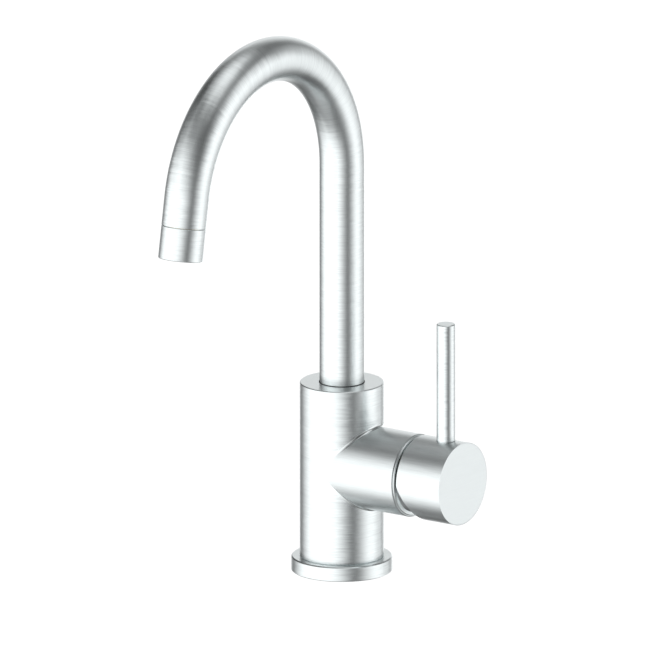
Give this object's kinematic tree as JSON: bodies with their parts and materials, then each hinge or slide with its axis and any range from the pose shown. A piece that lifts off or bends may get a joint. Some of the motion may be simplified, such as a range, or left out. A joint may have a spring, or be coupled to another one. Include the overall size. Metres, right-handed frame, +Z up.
{
  "type": "gooseneck bar faucet",
  "caption": "Deck-mounted bar faucet: round body on a flange, swivelling gooseneck spout with aerator, and a side lever that tilts for flow and turns for temperature.",
  "frame": {"origin": "centre of the base, on the deck surface, on the axis of the body and of the spout's riser", "axes": "+Z up out of the deck; -Y the way the spout reaches over the sink, at rest; +X the valve's axis, from the body out to the handle"},
  "size_m": [0.106, 0.1882, 0.3083],
  "materials": {
    "brushed_metal": "brushed round each piece",
    "brass": "machined",
    "steel": "machined",
    "rubber": "matte",
    "ceramic": "lapped",
    "cartridge_plastic": "moulded",
    "slide_plastic": "moulded, slippery",
    "aerator_plastic": "moulded",
    "cover_plastic": "moulded, satin grey"
  },
  "bodies": {
    "base": {"faucet_body": "brushed_metal", "base_flange": "brushed_metal", "deck_gasket": "rubber", "flange_o_ring": "rubber", "spout_set_screw": "steel", "spout_dust_ring": "rubber", "cartridge_base": "cartridge_plastic", "cartridge_seals": "rubber", "fixed_disc": "ceramic", "cartridge_case": "cartridge_plastic", "cartridge_nut": "brass", "bonnet_ring": "brushed_metal"},
    "spout": {"spout_tube": "brushed_metal", "spout_foot": "brass", "lower_slip_ring": "slide_plastic", "upper_slip_ring": "slide_plastic", "lower_spout_o_ring": "rubber", "upper_spout_o_ring": "rubber", "outlet_adapter": "brass", "aerator_housing": "brushed_metal", "aerator_washer": "rubber", "aerator_insert": "aerator_plastic", "aerator_screen": "steel", "aerator_grid": "aerator_plastic"},
    "rotor": {"cartridge_rotor": "slide_plastic", "pivot_pin": "steel"},
    "slide": {"moving_disc": "ceramic", "disc_carrier": "slide_plastic"},
    "handle": {"cartridge_stem": "steel", "handle_hub": "brushed_metal", "lever_rod": "brushed_metal", "handle_set_screw": "steel", "screw_cover": "cover_plastic"}
  },
  "joints": [
    {"name": "spout_swivel", "type": "hinge", "parent": "base", "child": "spout", "pos_m": [0, 0, 0], "axis": [0, 0, 1], "continuous": true},
    {"name": "temperature_turn", "type": "hinge", "parent": "base", "child": "rotor", "pos_m": [0.03192, 0, 0.0592], "axis": [1, 0, 0], "range_deg": [-45, 45]},
    {"name": "flow_tilt", "type": "hinge", "parent": "rotor", "child": "handle", "pos_m": [0.03192, 0, 0.0592], "axis": [0, 1, 0], "range_deg": [0, 20]},
    {"name": "disc_slide", "type": "slide", "parent": "rotor", "child": "slide", "axis": [0, 0, 1], "range_m": [0, 0.00376]}
  ],
  "couplings": [
    {"joint": "disc_slide", "follows": "flow_tilt", "m_per_rad": 0.010778}
  ]
}
